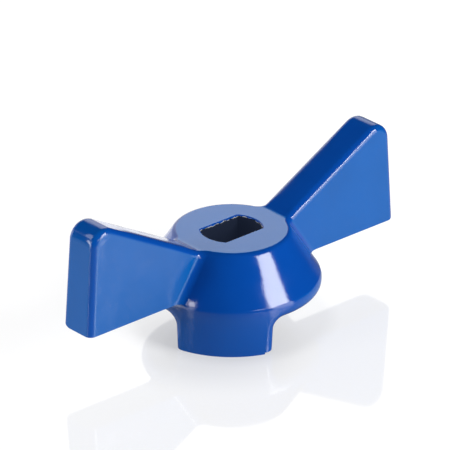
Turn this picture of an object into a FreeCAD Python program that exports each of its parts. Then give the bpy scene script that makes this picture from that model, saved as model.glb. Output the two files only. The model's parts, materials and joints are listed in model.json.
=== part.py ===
import FreeCAD, Part
import math
import os

os.makedirs("parts", exist_ok=True)

# Butterfly handle of a small quarter-turn tap, cast in one piece
# Lengths in millimetres, angles in degrees
# The wings lie along X, the spindle axis is the Z axis, and the stop lugs stand on the plane z = 0

# Hub
HUB_HEIGHT = 14.1
TOP_DIAMETER = 16.8
RIM_DIAMETER = 26.1
RIM_EDGE_HEIGHT = 7.0
RIM_EDGE_BREAK = 0.3

# Socket for the spindle, a round hole with two flats along the wings
SPINDLE_DIAMETER = 9.0
SPINDLE_FLATS = 5.5
SOCKET_EDGE_BREAK = 0.2

# Pocket under the hub for the gland nut, its upper part following the cone outside
SKIRT_WALL = 3.1
POCKET_ROOF_HEIGHT = 10.3
POCKET_SHOULDER_HEIGHT = 7.0
POCKET_DRAFT_ANGLE = 1.0
POCKET_EDGE_BREAK = 0.6

# Skirt with two windows that leave two stop lugs, the second one opposite the first
UNDERSIDE_HEIGHT = 4.9
LUG_DIRECTION = 223.0
LUG_HALF_ANGLE = 35.5
LUG_SIDE_DRAFT_ANGLE = 3.0
LUG_ROOT_RADIUS = 1.5
WINDOW_EDGE_RADIUS = 1.4
LUG_FOOT_STEP = 0.25
LUG_FOOT_STEP_ANGLE = 27.0

# Wings
WING_SPAN = 58.8
WING_ABOVE_RIM_EDGE = 0.35
WING_THICKNESS = 6.0
WING_SIDE_DRAFT_ANGLE = 0.6
WING_END_DRAFT_ANGLE = 3.8
WING_RISE_ANGLE = 28.6
RISE_INSIDE_TOP = 0.66
RISE_ROOT_RADIUS = 3.0
WING_TIP_RADIUS = 2.6
WING_FOOT_RADIUS = 1.0
WING_EDGE_RADIUS = 1.0
WING_ROOT_RADIUS = 1.4

# Reach of the helper solids beyond the part, and the gap at which two places count as one
OVERRUN = 4.0
TOUCH = 0.01

top_radius = TOP_DIAMETER / 2
rim_radius = RIM_DIAMETER / 2
pocket_radius = rim_radius - SKIRT_WALL
wing_bottom = RIM_EDGE_HEIGHT + WING_ABOVE_RIM_EDGE
half_span = WING_SPAN / 2
reach = half_span + OVERRUN


def vec(x, y, z):
    return FreeCAD.Vector(x, y, z)


CENTRE = vec(0, 0, 0)
AXIS = vec(0, 0, 1)


def slant(angle):
    """Sideways travel per unit of height of a face that leans by this angle."""
    return math.tan(math.radians(angle))


def revolved(points):
    """Solid of revolution round the spindle axis, with its seam between the wings."""
    wire = Part.makePolygon([vec(0, r, z) for r, z in points + points[:1]])
    return Part.Face(wire).revolve(CENTRE, AXIS, 360)


def turned(shape, angle):
    copy = shape.copy()
    copy.rotate(CENTRE, AXIS, angle)
    return copy


def cone_radius(z):
    """Radius of the hub's cone, also above and below its ends."""
    share = (z - RIM_EDGE_HEIGHT) / (HUB_HEIGHT - RIM_EDGE_HEIGHT)
    return rim_radius + (top_radius - rim_radius) * share


def middle(edge):
    return edge.valueAt((edge.FirstParameter + edge.LastParameter) / 2)


def off_axis(point):
    return math.hypot(point.x, point.y)


def is_level(edge, height):
    box = edge.BoundBox
    return abs(box.ZMin - height) < TOUCH and abs(box.ZMax - height) < TOUCH


def filleted(shape, radius, wanted):
    return shape.makeFillet(radius, [edge for edge in shape.Edges if wanted(edge)])


def chamfered(shape, setback, wanted):
    return shape.makeChamfer(setback, [edge for edge in shape.Edges if wanted(edge)])


# Lower hub, still solid down to the plane of the lugs
lower_hub = revolved([
    (0, 0),
    (rim_radius, 0),
    (rim_radius, RIM_EDGE_HEIGHT),
    (cone_radius(wing_bottom), wing_bottom),
    (0, wing_bottom),
])


# Two windows in the skirt leave the lugs standing
def beyond(angle, side):
    """Space past one flank of a lug, the flank leaning so that the lug narrows downwards."""
    space = Part.makeBox(2 * reach, reach, 2 * reach, vec(-reach, min(side, 0) * reach, -reach))
    space.rotate(CENTRE, vec(1, 0, 0), -side * LUG_SIDE_DRAFT_ANGLE)
    space.rotate(CENTRE, AXIS, angle)
    space.translate(vec(0, 0, UNDERSIDE_HEIGHT))
    return space


window_inside = pocket_radius / 2
window_outside = rim_radius + OVERRUN


def is_window_top(edge):
    """Upper edge of the window along one of its flanks."""
    halfway = (window_inside + window_outside) / 2
    return is_level(edge, UNDERSIDE_HEIGHT) and abs(off_axis(middle(edge)) - halfway) < TOUCH


def is_upright(edge):
    return edge.BoundBox.XLength < TOUCH and edge.BoundBox.YLength < TOUCH


def is_window_outline(edge):
    """Edge of a window on the outside of the skirt."""
    places = [vertex.Point for vertex in edge.Vertexes] + [middle(edge)]
    on_skirt = all(abs(off_axis(place) - rim_radius) < TOUCH for place in places)
    return on_skirt and TOUCH < middle(edge).z < RIM_EDGE_HEIGHT - TOUCH and not is_upright(edge)


window = Part.makeCylinder(window_outside, UNDERSIDE_HEIGHT + OVERRUN, vec(0, 0, -OVERRUN))
window = window.cut(Part.makeCylinder(window_inside, 2 * reach, vec(0, 0, -reach)))
window = turned(window, LUG_DIRECTION - 90)
window = window.common(beyond(LUG_DIRECTION + LUG_HALF_ANGLE, 1))
window = window.common(beyond(LUG_DIRECTION + 180 - LUG_HALF_ANGLE, -1))
window = filleted(window, LUG_ROOT_RADIUS, is_window_top)
lower_hub = lower_hub.cut(window).cut(turned(window, 180))
lower_hub = filleted(lower_hub, WINDOW_EDGE_RADIUS, is_window_outline)
lower_hub = chamfered(lower_hub, RIM_EDGE_BREAK, lambda edge: is_level(edge, RIM_EDGE_HEIGHT))


# Outline of both wings seen from the front, flush with the top of the hub between them
def rounded_corner(before, corner, after, radius):
    """Start, middle and end of the arc that rounds a corner of the outline."""
    to_before = (before - corner).normalize()
    to_after = (after - corner).normalize()
    half = to_before.getAngle(to_after) / 2
    inward = (to_before + to_after).normalize()
    setback = radius / math.tan(half)
    deepest = corner + inward * (radius / math.sin(half) - radius)
    return corner + to_before * setback, deepest, corner + to_after * setback


slope = slant(WING_RISE_ANGLE)
lean = slant(WING_END_DRAFT_ANGLE)
rise_start = top_radius - RISE_INSIDE_TOP + RISE_ROOT_RADIUS * slant(WING_RISE_ANGLE / 2)
tip_x = (half_span - lean * (HUB_HEIGHT - wing_bottom - slope * rise_start)) / (1 + lean * slope)
tip_z = HUB_HEIGHT + slope * (tip_x - rise_start)
foot = vec(half_span, 0, wing_bottom)
tip = vec(tip_x, 0, tip_z)
rise = vec(rise_start, 0, HUB_HEIGHT)
tip_low, tip_bend, tip_high = rounded_corner(foot, tip, rise, WING_TIP_RADIUS)
rise_high, rise_bend, rise_low = rounded_corner(tip, rise, vec(0, 0, HUB_HEIGHT), RISE_ROOT_RADIUS)
one_side = [
    Part.LineSegment(foot, tip_low).toShape(),
    Part.Arc(tip_low, tip_bend, tip_high).toShape(),
    Part.LineSegment(tip_high, rise_high).toShape(),
    Part.Arc(rise_high, rise_bend, rise_low).toShape(),
]
other_side = [edge.mirror(CENTRE, vec(1, 0, 0)) for edge in one_side]
across = [
    Part.LineSegment(rise_low, vec(-rise_low.x, 0, rise_low.z)).toShape(),
    Part.LineSegment(foot, vec(-foot.x, 0, foot.z)).toShape(),
]
outline = Part.Wire(Part.__sortEdges__(one_side + other_side + across))
outline.translate(vec(0, -reach, 0))
front_shape = Part.Face(outline).extrude(vec(0, 2 * reach, 0))


# Both broad faces of the wings lean inwards towards the top
def half_thickness(z):
    return WING_THICKNESS / 2 - slant(WING_SIDE_DRAFT_ANGLE) * (z - wing_bottom)


def slab(low, high):
    """Plate between the two leaning broad faces, from one height to another."""
    corners = [
        vec(-reach, -half_thickness(low), low),
        vec(-reach, half_thickness(low), low),
        vec(-reach, half_thickness(high), high),
        vec(-reach, -half_thickness(high), high),
    ]
    return Part.Face(Part.makePolygon(corners + corners[:1])).extrude(vec(2 * reach, 0, 0))


# Hollow root between cone and wings, made on longer pieces so that its ends come out clean
root_low = wing_bottom - WING_ROOT_RADIUS
root_high = HUB_HEIGHT + WING_ROOT_RADIUS


def is_cone_root(edge):
    box = edge.BoundBox
    upright = box.ZLength > (root_high - root_low) / 2
    return upright and max(abs(box.XMin), abs(box.XMax)) < reach - TOUCH and abs(middle(edge).x) > TOUCH


cone = revolved([
    (0, root_low),
    (cone_radius(root_low), root_low),
    (cone_radius(root_high), root_high),
    (0, root_high),
])
crossing = cone.fuse(slab(root_low, root_high)).removeSplitter()
crossing = filleted(crossing, WING_ROOT_RADIUS, is_cone_root)
wings = front_shape.common(slab(wing_bottom, tip_z + OVERRUN))
body = crossing.common(front_shape).fuse([wings, lower_hub]).removeSplitter()


# One rounded edge runs round the top of the hub, up the wings and down their ends
def is_upper_outline(edge):
    on_top = edge.BoundBox.ZMin > HUB_HEIGHT - TOUCH
    on_end = min(abs(vertex.X) for vertex in edge.Vertexes) > tip_low.x - TOUCH
    return (on_top or on_end) and abs(middle(edge).y) > TOUCH


body = filleted(body, WING_EDGE_RADIUS, is_upper_outline)

# The lower corner at the end of each wing is rounded across its whole thickness
end_side, foot_bend, under_side = rounded_corner(tip, foot, vec(0, 0, wing_bottom), WING_FOOT_RADIUS)
offcut = Part.Face(Part.Wire([
    Part.Arc(end_side, foot_bend, under_side).toShape(),
    Part.LineSegment(under_side, foot).toShape(),
    Part.LineSegment(foot, end_side).toShape(),
]))
offcut.translate(vec(0, -reach, 0))
offcut = offcut.extrude(vec(0, 2 * reach, 0))
body = body.cut(offcut).cut(turned(offcut, 180))

# Pocket and socket, open into each other
pocket_flare = slant(POCKET_DRAFT_ANGLE)
shoulder_radius = pocket_radius - pocket_flare * POCKET_SHOULDER_HEIGHT
wall_at_shoulder = cone_radius(POCKET_SHOULDER_HEIGHT) - shoulder_radius
pocket = revolved([
    (0, -OVERRUN),
    (pocket_radius + pocket_flare * OVERRUN, -OVERRUN),
    (shoulder_radius, POCKET_SHOULDER_HEIGHT),
    (cone_radius(POCKET_ROOF_HEIGHT) - wall_at_shoulder, POCKET_ROOF_HEIGHT),
    (0, POCKET_ROOF_HEIGHT),
])
pocket = chamfered(pocket, POCKET_EDGE_BREAK, lambda edge: is_level(edge, POCKET_ROOF_HEIGHT))
between_flats = Part.makeBox(2 * reach, SPINDLE_FLATS, 2 * reach, vec(-reach, -SPINDLE_FLATS / 2, -reach))
socket = Part.makeCylinder(SPINDLE_DIAMETER / 2, 2 * reach, vec(0, 0, -reach)).common(between_flats)
body = body.cut(pocket).cut(socket)


def is_socket_mouth(edge):
    return is_level(edge, HUB_HEIGHT) and off_axis(middle(edge)) < SPINDLE_DIAMETER / 2 + TOUCH


body = chamfered(body, SOCKET_EDGE_BREAK, is_socket_mouth)

# Low ledge at one flank of each lug's foot
ledge = Part.makeBox(reach, reach, reach, vec(0, 0, LUG_FOOT_STEP - reach))
ledge = turned(ledge, LUG_DIRECTION + LUG_FOOT_STEP_ANGLE)
body = body.cut(ledge).cut(turned(ledge, 180))

handle = body.Solids[0]
handle.exportStep("parts/butterfly_handle.step")
print("solids", len(body.Solids), "valid", handle.isValid(), "faces", len(handle.Faces))
print("volume in cubic millimetres", round(handle.Volume))
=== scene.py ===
# %% [markdown]
# # A butterfly tap handle
#
# The object is one die casting under a thick coat of glossy blue paint. It has a
# conical hub with a flat top, a hole with two flats for the tap's spindle, two
# wings to turn it by and two lugs under the rim that stop the quarter turn.
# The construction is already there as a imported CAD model. This file loads it as
# a fixed frame and gives it the looks: rounded paint over the casting's edges,
# the paint itself, the bare socket, a glossy white table and studio light.

import json
import math
from types import SimpleNamespace

import bmesh
import bpy
from mathutils import Matrix, Vector


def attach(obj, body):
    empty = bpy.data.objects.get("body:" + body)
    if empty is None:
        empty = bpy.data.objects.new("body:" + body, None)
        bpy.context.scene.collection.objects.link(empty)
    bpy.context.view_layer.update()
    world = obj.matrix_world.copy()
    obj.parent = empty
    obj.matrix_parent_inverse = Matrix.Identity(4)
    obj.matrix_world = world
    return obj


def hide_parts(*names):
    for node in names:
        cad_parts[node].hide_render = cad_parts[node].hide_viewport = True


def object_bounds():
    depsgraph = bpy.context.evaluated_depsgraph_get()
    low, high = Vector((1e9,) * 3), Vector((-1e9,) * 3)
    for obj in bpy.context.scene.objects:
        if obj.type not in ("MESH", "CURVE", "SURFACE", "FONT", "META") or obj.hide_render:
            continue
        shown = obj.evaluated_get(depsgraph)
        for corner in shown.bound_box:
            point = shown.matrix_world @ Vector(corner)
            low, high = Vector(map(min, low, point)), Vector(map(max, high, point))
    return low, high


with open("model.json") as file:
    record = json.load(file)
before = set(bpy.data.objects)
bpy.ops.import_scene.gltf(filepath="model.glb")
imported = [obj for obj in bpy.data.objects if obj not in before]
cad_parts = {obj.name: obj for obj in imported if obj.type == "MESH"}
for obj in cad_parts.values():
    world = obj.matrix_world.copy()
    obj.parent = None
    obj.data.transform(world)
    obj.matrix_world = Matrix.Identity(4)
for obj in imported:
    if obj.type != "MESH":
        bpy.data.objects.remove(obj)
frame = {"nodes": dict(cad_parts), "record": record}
cad_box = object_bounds()
bpy.ops.object.select_all(action="DESELECT")
casting = frame["nodes"]["butterfly_handle"]
print("CAD box in mm", [[round(1000 * v, 2) for v in corner] for corner in cad_box])

# %% [markdown]
# ## Sizes that the looks need
#
# The model is in metres. The mounts in the record say where the flat top of the
# hub is and how deep the socket goes, so nothing has to be measured by eye.

# %% Heights on the hub
MM = 0.001
mounts = {mount["name"]: mount["pos_m"] for mount in frame["record"]["mounts"]}
hub_top = mounts["nut_seat"][2]
socket_floor = mounts["spindle_socket"][2]
hub_middle = Vector((0, 0, 10 * MM))
print("hub top", hub_top, "socket ends at", socket_floor)

# %% [markdown]
# ## The camera
#
# A product photographer stands well back with a long lens, which keeps the
# wings' edges nearly parallel. The direction, the distance and the focal length
# below bring every edge of the model onto the same edge of the picture, so the
# view can be compared with the photograph region by region.

# %% Set up the camera
CAMERA_AZIMUTH = math.radians(-41.724)
CAMERA_HEIGHT_ANGLE = math.radians(26.128)
CAMERA_ROLL = math.radians(0.163)
CAMERA_DISTANCE = 760 * MM
CAMERA_ASIDE = -0.959 * MM
CAMERA_ABOVE = 4.172 * MM
SENSOR_MM = 36
LENS_MM = 421.35

backward = Vector((
    math.sin(CAMERA_AZIMUTH) * math.cos(CAMERA_HEIGHT_ANGLE),
    -math.cos(CAMERA_AZIMUTH) * math.cos(CAMERA_HEIGHT_ANGLE),
    math.sin(CAMERA_HEIGHT_ANGLE),
))
rightward = Vector((math.cos(CAMERA_AZIMUTH), math.sin(CAMERA_AZIMUTH), 0))
upward = backward.cross(rightward)
place = hub_middle + backward * CAMERA_DISTANCE + rightward * CAMERA_ASIDE
place += upward * CAMERA_ABOVE
turned = Matrix((rightward, upward, backward)).transposed()
rolled = turned @ Matrix.Rotation(CAMERA_ROLL, 3, "Z")

camera_data = bpy.data.cameras.new("camera")
camera_data.sensor_width = SENSOR_MM
camera_data.lens = LENS_MM
camera_data.clip_start = 10 * MM
camera = bpy.data.objects.new("camera", camera_data)
camera.matrix_world = Matrix.Translation(place) @ rolled.to_4x4()
bpy.context.scene.collection.objects.link(camera)
bpy.context.scene.camera = camera
bpy.context.scene.view_settings.view_transform = "Standard"
print("camera stands at", [round(v, 4) for v in place])

# %% [markdown]
# ## Small helpers for materials
#
# Every finish here is procedural: it reads the object's own coordinates and a
# few noises. The helpers add a node and wire it up in one line, so that the
# finishes below read like recipes.

# %% Helpers that add and wire nodes
def new_material(name):
    """A new material, its node tree and its shader."""
    material = bpy.data.materials.new(name)
    material.use_nodes = True
    tree = material.node_tree
    return material, tree, tree.nodes["Principled BSDF"]


def add(tree, kind, inputs=None, **settings):
    """Adds a node, sets it up, and wires or fills its inputs."""
    node = tree.nodes.new(kind)
    for name, value in settings.items():
        setattr(node, name, value)
    for key, value in (inputs or {}).items():
        if isinstance(value, bpy.types.NodeSocket):
            tree.links.new(value, node.inputs[key])
        else:
            node.inputs[key].default_value = value
    return node


def calc(tree, operation, *values):
    """Arithmetic on numbers or sockets. More than two are taken one after the other."""
    while len(values) > 2:
        values = (calc(tree, operation, *values[:2]), *values[2:])
    return add(tree, "ShaderNodeMath", dict(enumerate(values)), operation=operation).outputs[0]


def vector(tree, operation, inputs):
    """One step of arithmetic on vectors."""
    return add(tree, "ShaderNodeVectorMath", inputs, operation=operation).outputs[0]


# %% Helpers for smooth changes
NOISE_LOW = 0.3
NOISE_HIGH = 0.7


def ramp(tree, value, low, high, to_low=0.0, to_high=1.0):
    """Smooth change from one level to another while the value goes from low to high."""
    inputs = {
        "Value": value, "From Min": low, "From Max": high, "To Min": to_low, "To Max": to_high}
    return add(tree, "ShaderNodeMapRange", inputs, interpolation_type="SMOOTHSTEP").outputs[0]


def noise(tree, size, detail=2.0):
    """Noise whose blobs are about this size on the object, in metres."""
    coordinates = add(tree, "ShaderNodeTexCoord").outputs["Object"]
    inputs = {"Vector": coordinates, "Scale": 1 / size, "Detail": detail}
    return add(tree, "ShaderNodeTexNoise", inputs).outputs[0]


def uneven(tree, size, lowest, highest, detail=2.0):
    """A level that drifts between two ends in blobs of about this size."""
    return ramp(tree, noise(tree, size, detail), NOISE_LOW, NOISE_HIGH, lowest, highest)


def mix(tree, share, first, second):
    """Mix of two numbers."""
    return add(tree, "ShaderNodeMix", {0: share, 2: first, 3: second}).outputs[0]


def blend(tree, share, first, second):
    """Mix of two colours."""
    node = add(tree, "ShaderNodeMix", {0: share, 6: first, 7: second}, data_type="RGBA")
    return node.outputs[2]


# %% [markdown]
# ## The table
#
# The handle stands on white acrylic. It mirrors the handle faintly, as any
# glossy plastic does at a low angle. A large plane with a smooth finish gives
# that. The shader reads the plane's own coordinates, and three helpers turn them
# into distances and directions on the table.

# %% Lay the table
TABLE_SIZE = 6.0
TABLE_WHITE = (0.32, 0.32, 0.32, 1)
HAZE_BLOBS = 8 * MM
HAZE = (0.04, 0.07)

bpy.ops.mesh.primitive_plane_add(size=TABLE_SIZE, location=(0, 0, cad_box[0][2]))
table = bpy.context.object
table.name = "table"
table_finish, floor_tree, floor_shader = new_material("white_acrylic")
floor_shader.inputs["Base Color"].default_value = TABLE_WHITE
floor_tree.links.new(uneven(floor_tree, HAZE_BLOBS, *HAZE), floor_shader.inputs["Roughness"])
print("table of", TABLE_SIZE, "m")

# %% Measure places on the table
floor_spot = add(floor_tree, "ShaderNodeTexCoord").outputs["Object"]
floor_x, floor_y, floor_z = add(floor_tree, "ShaderNodeSeparateXYZ", {0: floor_spot}).outputs


def distance_from(x0, y0):
    """Distance on the table from a spot to the shaded point."""
    dx = calc(floor_tree, "SUBTRACT", floor_x, x0)
    dy = calc(floor_tree, "SUBTRACT", floor_y, y0)
    squares = [calc(floor_tree, "MULTIPLY", d, d) for d in (dx, dy)]
    return calc(floor_tree, "SQRT", calc(floor_tree, "ADD", *squares))


def side_of(x0, y0, azimuth):
    """Distance on the table to the left of a line from a spot in this direction."""
    turn = math.radians(azimuth)
    dx = calc(floor_tree, "SUBTRACT", floor_x, x0)
    dy = calc(floor_tree, "SUBTRACT", floor_y, y0)
    left_x = calc(floor_tree, "MULTIPLY", dx, -math.sin(turn))
    left_y = calc(floor_tree, "MULTIPLY", dy, math.cos(turn))
    return calc(floor_tree, "ADD", left_x, left_y)


def sector(start, end, to_low=0.0, to_high=1.0):
    """Smooth change with the direction round the hub, between two angles in degrees."""
    return ramp(floor_tree, around, math.radians(start), math.radians(end), to_low, to_high)


around = calc(floor_tree, "ARCTAN2", floor_y, floor_x)
FOOT_SPOT = (-8.4 * MM, -5.2 * MM)
from_foot = distance_from(*FOOT_SPOT)
print("the shade round the foot is centred on", FOOT_SPOT)

# %% [markdown]
# ## The table's glow
#
# In the studio the floor is lit from behind and from above, far beyond the
# frame. Here it glows by itself instead, and each kind of ray meets its own
# level, so that one part of the picture can be set without spoiling another.
# Rays that only carry diffuse light meet a grey floor that darkens under the
# handle, so the floor doesn't flood the handle with light from below.

# %% Floor for diffuse light
TABLE_GLOW = 0.45
FOOT_GLOW = 0.07
FOOT_SHADE = (10 * MM, 28 * MM)

lit = ramp(floor_tree, from_foot, *FOOT_SHADE, FOOT_GLOW, TABLE_GLOW)
print("diffuse light meets a floor of", FOOT_GLOW, "to", TABLE_GLOW)

# %% [markdown]
# Glossy paint mirrors the floor, and that gives the wings and the skirt most of
# their tone. Behind the handle the mirrored floor is bright, fades towards the
# left and ends beside the left wing's end. In front it is grey, and dark again
# on the right, far away on the right, and beyond the left wing's end.

# %% Floor that the paint mirrors
SHEEN_LEVEL = 0.40
SHEEN_SECTOR = (46, 54)
LEFT_DARK_SECTOR = (95, 125)
LEFT_DARK_SHARE = 0.4
RIGHT_DARK_SECTOR = (-6, 12)
FAR_RIGHT_SECTOR = (-45, -25)
FAR_RIGHT_FROM = (80 * MM, 160 * MM)
BEHIND_LINE = (-29.3 * MM, -2 * MM, 142)
BEHIND_FADE = (5 * MM, 1 * MM)
FRONT_LINE = (-28.2 * MM, -3 * MM, -48)
FRONT_FADE = (-6 * MM, -1.5 * MM)
FRONT_DARK_SHARE = 0.1

behind = calc(
    floor_tree, "MULTIPLY",
    sector(*SHEEN_SECTOR, 0, TABLE_GLOW + SHEEN_LEVEL),
    sector(*LEFT_DARK_SECTOR, 1, LEFT_DARK_SHARE),
    ramp(floor_tree, side_of(*BEHIND_LINE), *BEHIND_FADE),
)
far_right = calc(
    floor_tree, "MULTIPLY",
    sector(*FAR_RIGHT_SECTOR), ramp(floor_tree, from_foot, *FAR_RIGHT_FROM))
front = calc(
    floor_tree, "MULTIPLY",
    lit,
    sector(*RIGHT_DARK_SECTOR, 1, 0),
    calc(floor_tree, "SUBTRACT", 1.0, far_right),
    ramp(floor_tree, side_of(*FRONT_LINE), *FRONT_FADE, FRONT_DARK_SHARE, 1),
)
mirrored = calc(floor_tree, "ADD", behind, front)
print("the paint mirrors a floor of up to", TABLE_GLOW + SHEEN_LEVEL)

# %% [markdown]
# The camera sees a nearly white floor. A soft grey shade lies round the foot,
# and a darker one right under the hub, where no light comes in.

# %% Floor that the camera sees
CAMERA_GLOW = 0.71
CAMERA_FOOT_GLOW = 0.56
CAMERA_SHADE = (4 * MM, 17 * MM)
CONTACT_SHADOW = 0.08
CONTACT_EDGE = (16.5 * MM, 13 * MM)

seen = ramp(floor_tree, from_foot, *CAMERA_SHADE, CAMERA_FOOT_GLOW, CAMERA_GLOW)
contact = ramp(floor_tree, distance_from(0, 0), *CONTACT_EDGE, 0, CONTACT_SHADOW)
seen = calc(floor_tree, "SUBTRACT", seen, contact)

path = add(floor_tree, "ShaderNodeLightPath").outputs
by_gloss = calc(floor_tree, "MAXIMUM", path["Is Glossy Ray"], path["Is Transmission Ray"])
glow = mix(floor_tree, by_gloss, lit, mirrored)
glow = mix(floor_tree, path["Is Camera Ray"], glow, seen)
floor_shader.inputs["Emission Color"].default_value = (1, 1, 1, 1)
floor_tree.links.new(glow, floor_shader.inputs["Emission Strength"])
table.data.materials.append(table_finish)
print("the camera sees a floor of", CAMERA_FOOT_GLOW, "to", CAMERA_GLOW)

# %% [markdown]
# ## The studio
#
# What glossy paint looks like is mostly what it mirrors. The photographer's room
# is dim above. Behind the handle stands a pale wall with a brighter part, and
# two bright panels stand low on the left. One world shader paints that by
# direction. The camera itself sees plain white.

# %% Helper for a panel in the room
PANEL_SOFT = 4
PANEL_FOOT_SOFT = 2
PANEL_TOP_SOFT = 3

world = bpy.data.worlds.new("studio")
bpy.context.scene.world = world
world.use_nodes = True
room = world.node_tree
direction = add(room, "ShaderNodeTexCoord").outputs["Generated"]
east, north, rise = add(room, "ShaderNodeSeparateXYZ", {0: direction}).outputs
flat = add(room, "ShaderNodeCombineXYZ", {0: east, 1: north}).outputs[0]
flat = vector(room, "NORMALIZE", {0: flat})


def edge(middle, soft, angle_function):
    """The two ends of a soft edge, from its angle in degrees."""
    return [angle_function(math.radians(middle + way * soft)) for way in (-1, 1)]


def panel(level, azimuth, half_width, low, high):
    """Glow of this level round an azimuth and between two heights, all in degrees."""
    turn = math.radians(azimuth)
    way = (math.cos(turn), math.sin(turn), 0)
    aim = add(room, "ShaderNodeVectorMath", {0: flat, 1: way}, operation="DOT_PRODUCT")
    inner, outer = edge(half_width, PANEL_SOFT, math.cos)
    across = ramp(room, aim.outputs["Value"], outer, inner, 0, level)
    above = ramp(room, rise, *edge(low, PANEL_FOOT_SOFT, math.sin))
    below = ramp(room, rise, *reversed(edge(high, PANEL_TOP_SOFT, math.sin)))
    return calc(room, "MULTIPLY", above, below, across)


# %% Paint the room
ROOM_PANELS = {
    "wall": (1.1, 75, 33, -9, 32),
    "bright part of the wall": (1.6, 52, 16, 12, 34),
    "left panel": (2.5, 116, 12, -9, 20),
    "far left panel": (4.25, 167, 14, -9, 14),
}
DIM_LEVEL = 0.01

panels = [panel(*sizes) for sizes in ROOM_PANELS.values()]
level = calc(room, "MAXIMUM", *panels, DIM_LEVEL)
by_camera = add(room, "ShaderNodeLightPath").outputs["Is Camera Ray"]
for_others = calc(room, "MULTIPLY", level, calc(room, "SUBTRACT", 1.0, by_camera))
background = room.nodes["Background"]
background.inputs["Color"].default_value = (1, 1, 1, 1)
room.links.new(calc(room, "ADD", for_others, by_camera), background.inputs["Strength"])
print("the room has", len(panels), "panels:", ", ".join(ROOM_PANELS))

# %% [markdown]
# ## Softboxes
#
# The upright white strip on the cone is the mirror image of a tall softbox, the
# key. A low panel carries on where the key ends. On the left, a high box gives
# the sheen of the flat top and of the wings' slopes, a small one shows as the
# triangle low on the cone, and one near the floor is the glint on the wing's
# end. Two small boxes in front draw the bright lines at the wing's root and
# beside its upright edge.

# %% Hang the softboxes
LIGHT_DISTANCE = 1.6
SOFTBOXES = {
    # azimuth, height angle, width and height in degrees, and watts
    "key_softbox": (-66, 30, 23.6, 20, 18.5),
    "key_floor_panel": (-66, 8, 30, 20, 6.5),
    "upper_left_softbox": (144, 37, 22, 20, 3.5),
    "left_softbox": (175.5, 20, 9, 9, 2.3),
    "root_softbox": (-96, 18, 14, 8, 1.6),
    "glint_softbox": (155, 11, 16, 18, 5),
    "edge_softbox": (-79.5, 17, 8, 9, 3),
}


def softbox(name, azimuth, height_angle, wide, tall, power):
    """Area light seen from the handle under these angles, all in degrees."""
    turn = math.radians(azimuth)
    lift = math.radians(height_angle)
    way = Vector((
        math.cos(turn) * math.cos(lift), math.sin(turn) * math.cos(lift), math.sin(lift)))
    data = bpy.data.lights.new(name, "AREA")
    data.shape = "RECTANGLE"
    data.size = 2 * LIGHT_DISTANCE * math.tan(math.radians(wide / 2))
    data.size_y = 2 * LIGHT_DISTANCE * math.tan(math.radians(tall / 2))
    data.energy = power
    lamp = bpy.data.objects.new(name, data)
    lamp.location = hub_middle + way * LIGHT_DISTANCE
    lamp.rotation_euler = way.to_track_quat("Z", "Y").to_euler()
    bpy.context.scene.collection.objects.link(lamp)
    print(name, "is", round(data.size, 2), "by", round(data.size_y, 2), "m")


for name, sizes in SOFTBOXES.items():
    softbox(name, *sizes)

# %% [markdown]
# ## The casting under its paint
#
# The CAD mesh is loose triangles that share no points. A copy is welded, so that
# its edges can be found and rounded. The copy replaces the CAD mesh in the
# picture, and the CAD mesh itself stays as it is.

# %% Weld a copy
WELD = 0.002 * MM

handle = casting.copy()
handle.data = casting.data.copy()
handle.name = "painted_casting"
handle.parent = None
bpy.context.scene.collection.objects.link(handle)
bpy.context.view_layer.objects.active = handle
handle.select_set(True)
bpy.ops.object.mode_set(mode="EDIT")
bpy.ops.mesh.select_all(action="SELECT")
bpy.ops.mesh.customdata_custom_splitnormals_clear()
bpy.ops.mesh.remove_doubles(threshold=WELD)
bpy.ops.mesh.normals_make_consistent(inside=False)
bpy.ops.object.mode_set(mode="OBJECT")
print("welded casting has", len(handle.data.vertices), "points")

# %% [markdown]
# ## Square feet on the wings' ends
#
# The CAD rounds the lower outer corner of each wing's end by one millimetre,
# right across its thickness. On the real casting that foot is nearly sharp in
# mid thickness and at one of its two corners. The foot's faces are cut at two
# depths, which gives points to move. Then each point goes down to the wing's
# bottom and outwards along the end's slight lean. Towards the corner that stays
# rounded this fades out and turns into a small lift, for a taller rounding.

# %% Cut the feet and lower their points
END_FROM = 28.3 * MM
FOOT_BELOW = 8.5 * MM
END_LEAN = math.tan(math.radians(3.8))
FULL_FOOT = 1.6 * MM
CORNER_WIDTH = 1.4 * MM
CORNER_GROWTH = 0.45

points = handle.data.vertices
wing_bottom = min(point.co.z for point in points if abs(point.co.x) > END_FROM)


def at_foot(point):
    """Whether a point belongs to the lower rounding of a wing's end."""
    return abs(point.co.x) > END_FROM and point.co.z < FOOT_BELOW


mesh = bmesh.new()
mesh.from_mesh(handle.data)
for side in (-FULL_FOOT, FULL_FOOT):
    faces = [face for face in mesh.faces if all(at_foot(point) for point in face.verts)]
    edges = dict.fromkeys(edge for face in faces for edge in face.edges)
    points = dict.fromkeys(point for face in faces for point in face.verts)
    bmesh.ops.bisect_plane(
        mesh, geom=[*points, *edges, *faces], plane_co=(0, side, 0), plane_no=(0, 1, 0))
feet = [point for point in mesh.verts if at_foot(point)]
for point in feet:
    outside = min(max(abs(point.co.y) - FULL_FOOT, 0) / CORNER_WIDTH, 1) ** 2
    outside *= point.co.x * point.co.y < 0
    drop = (point.co.z - wing_bottom) * (1 - (1 + CORNER_GROWTH) * outside)
    point.co.x += math.copysign(drop * END_LEAN, point.co.x)
    point.co.z -= drop
print("moved", len(feet), "points of the feet, wings' bottom at", round(wing_bottom, 5))
mesh.to_mesh(handle.data)
mesh.free()

# %% [markdown]
# ## Rounded paint over the edges
#
# Paint flows back from sharp corners, so on the real handle even the edges that
# the mould leaves sharp end in a small radius. A narrow bevel on the sharp edges
# does the same. The shading normals then follow the large faces, so that flat
# faces mirror like flat faces.

# %% Round the edges
PAINT_EDGE = 0.18 * MM
PAINT_SEGMENTS = 3
SHARP_FROM = math.radians(40)

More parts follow.
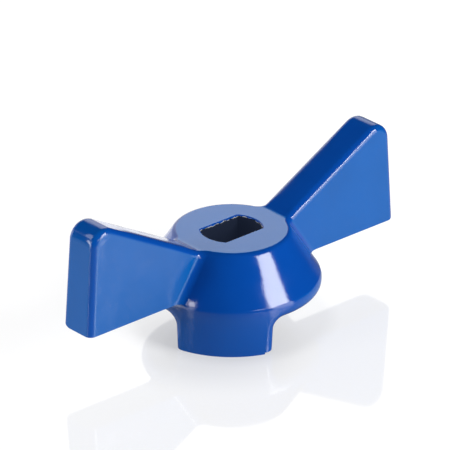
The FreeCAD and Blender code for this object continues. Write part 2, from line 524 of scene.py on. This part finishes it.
rounding = handle.modifiers.new("paint_edge", "BEVEL")
rounding.width = PAINT_EDGE
rounding.segments = PAINT_SEGMENTS
rounding.limit_method = "ANGLE"
rounding.angle_limit = SHARP_FROM
bpy.ops.object.modifier_apply(modifier="paint_edge")
bpy.ops.object.shade_smooth_by_angle(angle=SHARP_FROM)
weights = handle.modifiers.new("even_shading", "WEIGHTED_NORMAL")
weights.keep_sharp = True
bpy.ops.object.modifier_apply(modifier="even_shading")
print("painted casting has", len(handle.data.polygons), "faces")

# %% [markdown]
# ## Blue baked paint
#
# The coat is deep blue and glossy. Its tone drifts a little at random, as the
# coat's thickness does, and by place it carries painted shade, painted light and
# painted reflections for what the studio throws on it. So the shader first reads
# where the shaded point is on the handle and which way the surface faces. The
# recipes below share these values.

# %% Read the place on the handle
WING_SIDE = (-0.95, -0.89)
HUB_REACH = (14.5 * MM, 11 * MM)

enamel, coat, enamel_shader = new_material("blue_enamel")


def read_place():
    """Values for the shaded point: its place, the way it faces, and how much it is hub."""
    spot = add(coat, "ShaderNodeTexCoord").outputs["Object"]
    x, y, z = add(coat, "ShaderNodeSeparateXYZ", {0: spot}).outputs
    squares = [calc(coat, "MULTIPLY", way, way) for way in (x, y)]
    normal = add(coat, "ShaderNodeNewGeometry").outputs["Normal"]
    faces_x, faces_y, faces_up = add(coat, "ShaderNodeSeparateXYZ", {0: normal}).outputs
    along = calc(coat, "ABSOLUTE", x)
    under_wing = calc(coat, "LESS_THAN", z, wing_bottom)
    off_wing = calc(coat, "MAXIMUM", ramp(coat, faces_y, *WING_SIDE), under_wing)
    return SimpleNamespace(
        x=x, y=y, z=z, along=along,
        off_axis=calc(coat, "SQRT", calc(coat, "ADD", *squares)),
        normal=normal, faces_x=faces_x, faces_y=faces_y, faces_up=faces_up,
        on_hub=calc(coat, "MULTIPLY", ramp(coat, along, *HUB_REACH), off_wing),
    )


at = read_place()
print("the paint reads its place with", len(coat.nodes), "nodes")

# %% [markdown]
# The cone takes the deepest blue, painted shade where less light falls. Its low
# band keeps a share of the lighter wing's blue, more of it on the right, and the
# band is taller there too: a painted reflection of the floor. The wings' sloped
# tops and rounded upright corners are as deep as the cone, painted shade too. The
# left wing's broad side is a little paler and redder, a painted reflection of the
# floor, and the flat top is lighter and greener, painted light from above.

# %% Tint the paint by place, with painted shade, light and reflections
WING_BLUE = (0.002, 0.110, 0.425, 1)
# The left wing's broad side gets a paler, redder blue: a painted reflection of the bright
# floor.
LEFT_REFLECTION_BLUE = (0.018, 0.125, 0.435, 1)
# The deepest blue is painted shade on the cone, the wings' sloped tops and rounded corners.
DEEP_SHADE_BLUE = (0.002, 0.069, 0.39, 1)
# The flat top is lighter and greener: painted light from above.
TOP_LIT_BLUE = (0.010, 0.165, 0.57, 1)
TINT_BLOBS = 9 * MM
DEEPER = 0.93
# The cone's low band keeps some lighter wing blue, more on the right: a painted reflection of
# the floor.
BAND_FOOT = 5.5 * MM
BAND_WIDENS = (-2 * MM, 6 * MM)
BAND_SHARE = (0.7, 0.2)
BAND_TOP = (7.5 * MM, 10 * MM)
# The wings' sloped tops and rounded upright corners get the deep blue as painted shade.
SLOPE_FACES_UP = (0.15, 0.55)
SLOPE_ENDS = (26.5 * MM, 24.5 * MM)
SLOPE_END_SHARE = 0.6
CORNER_TURN = (0.15, 0.4)
CORNER_SHARE = 0.8
CORNER_FROM = (25 * MM, 27 * MM)
# Where the left wing's broad side shows the painted reflection.
LEFT_SIDE = (-0.78, -0.92)
LEFT_FROM = (-10 * MM, -14 * MM)
# Where the flat top gets its painted light.
TOP_SKIN = (hub_top - 0.15 * MM, hub_top - 0.03 * MM)
TOP_RADIUS = (9.6 * MM, 9.2 * MM)
TOP_FACES_UP = (0.97, 0.995)


def tinted():
    """The paint's colour by place, with painted shade, painted light and painted reflections.
    """
    # Share of the deep shade blue at the band's foot; the rest is the painted reflection.
    band_shade_share = ramp(coat, at.x, *BAND_WIDENS, *BAND_SHARE)
    band_top = ramp(coat, at.x, *BAND_WIDENS, *BAND_TOP)
    cone_shade = calc(
        coat, "MULTIPLY", at.on_hub, ramp(coat, at.z, BAND_FOOT, band_top, band_shade_share, 1))
    slope_shade = calc(
        coat, "MULTIPLY",
        ramp(coat, at.faces_up, *SLOPE_FACES_UP),
        ramp(coat, at.along, *SLOPE_ENDS, SLOPE_END_SHARE, 1))
    corner_turn = calc(coat, "ABSOLUTE", calc(coat, "MULTIPLY", at.faces_x, at.faces_y))
    corner_shade = calc(
        coat, "MULTIPLY",
        ramp(coat, corner_turn, *CORNER_TURN, 0, CORNER_SHARE),
        ramp(coat, at.along, *CORNER_FROM))
    left_reflection = calc(
        coat, "MULTIPLY", ramp(coat, at.faces_y, *LEFT_SIDE), ramp(coat, at.x, *LEFT_FROM))
    top_light = calc(
        coat, "MULTIPLY",
        ramp(coat, at.z, *TOP_SKIN),
        ramp(coat, at.off_axis, *TOP_RADIUS),
        ramp(coat, at.faces_up, *TOP_FACES_UP))
    # Painted reflection of the floor on the left wing's broad side.
    blue = blend(coat, left_reflection, WING_BLUE, LEFT_REFLECTION_BLUE)
    # Painted shade: the deepest blue on the cone, the sloped tops and the rounded corners.
    blue = blend(coat, calc(coat, "MAXIMUM", cone_shade, slope_shade, corner_shade), blue, DEEP_SHADE_BLUE)
    # Painted light on the flat top.
    blue = blend(coat, top_light, blue, TOP_LIT_BLUE)
    return vector(coat, "SCALE", {0: blue, "Scale": uneven(coat, TINT_BLOBS, 1.0, DEEPER)})


blue = tinted()
print("the paint is tinted with", len(coat.nodes), "nodes so far")

# %% [markdown]
# ## The socket
#
# Inside the socket the paint ends in a ragged edge about 0.2 mm down. Pale bare
# metal shows there in short broken pieces, and the wall below is dark and dull.
# A faint painted glow stands in for stray light and keeps it from turning black.

# %% End the paint in the socket
SOCKET_DARK = (0.005, 0.008, 0.018, 1)
BARE_EDGE = (0.45, 0.46, 0.46, 1)
# Colour of a faint glow on the deep socket wall: painted light for stray light.
PAINTED_STRAY_GLOW = (0.006, 0.009, 0.019, 1)
SOCKET_REACH = 4.62 * MM
PAINT_ENDS = hub_top - 0.17 * MM
RAGGED_BLOBS = 0.7 * MM
RAGGED = 0.07 * MM
EDGE_WIDTH = 0.10 * MM
EDGE_BLOBS = 0.9 * MM
EDGE_BREAKS = (0.42, 0.56)
SOCKET_ENDS = socket_floor - 0.1 * MM

depth = calc(coat, "ADD", at.z, uneven(coat, RAGGED_BLOBS, -RAGGED, RAGGED, 3.0))
below = calc(
    coat, "MULTIPLY",
    calc(coat, "LESS_THAN", depth, PAINT_ENDS),
    calc(coat, "LESS_THAN", at.off_axis, SOCKET_REACH),
    calc(coat, "GREATER_THAN", at.z, SOCKET_ENDS))
deep = calc(coat, "MULTIPLY", calc(coat, "LESS_THAN", depth, PAINT_ENDS - EDGE_WIDTH), below)
broken = ramp(coat, noise(coat, EDGE_BLOBS), *EDGE_BREAKS)
bare = blend(coat, broken, SOCKET_DARK, BARE_EDGE)
colour = blend(coat, deep, blend(coat, below, blue, bare), SOCKET_DARK)
coat.links.new(colour, enamel_shader.inputs["Base Color"])
# The deep socket wall glows faintly: painted light standing in for stray light.
enamel_shader.inputs["Emission Color"].default_value = PAINTED_STRAY_GLOW
coat.links.new(deep, enamel_shader.inputs["Emission Strength"])
print("the paint ends at a height of", round(1000 * PAINT_ENDS, 2), "mm")

# %% Set the gloss
GLOSS_BLOBS = 3 * MM
GLOSS = (0.08, 0.14)
DULL = 0.75
PAINT_SHINE = 0.5
SHINE_LOST = 0.42

gloss = uneven(coat, GLOSS_BLOBS, *GLOSS)
roughness = calc(coat, "MAXIMUM", gloss, calc(coat, "MULTIPLY", below, DULL))
shine = calc(coat, "SUBTRACT", PAINT_SHINE, calc(coat, "MULTIPLY", below, SHINE_LOST))
coat.links.new(roughness, enamel_shader.inputs["Roughness"])
coat.links.new(shine, enamel_shader.inputs["Specular IOR Level"])
print("paint's roughness drifts between", *GLOSS)

# %% [markdown]
# ## Soft crowns, orange peel and swell
#
# The wings' tops aren't quite flat: thick paint makes them a little round, and
# so it does at the wings' ends and at the cone's top and foot. That is far too
# fine for the mesh, and a mirror shows it all the same, so only the shading
# normal leans. On top come the fine ripple that painters call orange peel and a
# slow swell.

# %% Lean the normals on the crowns
CROWN = 0.10
CROWN_FROM = 0.3
CROWN_MOST = 1.9
WING_FROM = (9 * MM, 11 * MM)
WING_TO = (24 * MM, 20 * MM)
WING_FACES_UP = (0.55, 0.80)
END_CROWN_FROM = (27.2 * MM, 27.8 * MM)
END_FACES_UP = (0.2, 0.45)
FOOT_HEIGHTS = (7.3 * MM, 9.2 * MM)
FOOT_LEAN = -0.15
FOOT_LEFT = (-6 * MM, -9 * MM)
TOP_HEIGHTS = (13.1 * MM, 13.8 * MM)
TOP_LEAN = 0.06
CONE_FACES_UP = (0.3, 0.5)


def crowned():
    """The surface's normal, leaned where thick paint makes it round."""
    width = calc(coat, "MULTIPLY", calc(coat, "ABSOLUTE", at.y), 1 / MM)
    width = calc(coat, "MAXIMUM", calc(coat, "SUBTRACT", width, CROWN_FROM), 0.0)
    across = calc(
        coat, "MULTIPLY",
        calc(coat, "MINIMUM", width, CROWN_MOST), CROWN, calc(coat, "SIGN", at.y))
    on_wing = calc(
        coat, "MULTIPLY",
        ramp(coat, at.along, *WING_FROM),
        ramp(coat, at.along, *WING_TO),
        ramp(coat, at.faces_up, *WING_FACES_UP))
    on_end = calc(
        coat, "MULTIPLY",
        ramp(coat, at.along, *END_CROWN_FROM),
        ramp(coat, at.faces_up, *END_FACES_UP),
        calc(coat, "LESS_THAN", at.y, 0.0))
    lean = calc(coat, "MULTIPLY", across, calc(coat, "MAXIMUM", on_wing, on_end))
    at_cone_foot = calc(
        coat, "MULTIPLY",
        ramp(coat, at.z, *FOOT_HEIGHTS, FOOT_LEAN, 0), ramp(coat, at.x, *FOOT_LEFT))
    at_cone_top = ramp(coat, at.z, *TOP_HEIGHTS, 0, TOP_LEAN)
    rise = calc(
        coat, "MULTIPLY",
        at.on_hub,
        ramp(coat, at.faces_up, *CONE_FACES_UP),
        calc(coat, "ADD", at_cone_foot, at_cone_top))
    leaned = add(coat, "ShaderNodeCombineXYZ", {"Y": lean, "Z": rise}).outputs[0]
    return vector(coat, "NORMALIZE", {0: vector(coat, "ADD", {0: at.normal, 1: leaned})})


normal = crowned()
print("normals lean by up to", round(CROWN * CROWN_MOST, 2))

# %% Add orange peel and swell
PEEL_SIZE = 0.3 * MM
PEEL_DEPTH = 0.006 * MM
SWELL_SIZE = 4 * MM
SWELL_DEPTH = 0.03 * MM

for size, depth_of_bumps in ((PEEL_SIZE, PEEL_DEPTH), (SWELL_SIZE, SWELL_DEPTH)):
    bumps = {"Height": noise(coat, size, 1.0), "Distance": depth_of_bumps, "Normal": normal}
    normal = add(coat, "ShaderNodeBump", bumps).outputs[0]
coat.links.new(normal, enamel_shader.inputs["Normal"])

handle.data.materials.clear()
handle.data.materials.append(enamel)
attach(handle, "root")
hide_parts("butterfly_handle")
print("the paint has", len(coat.nodes), "nodes")
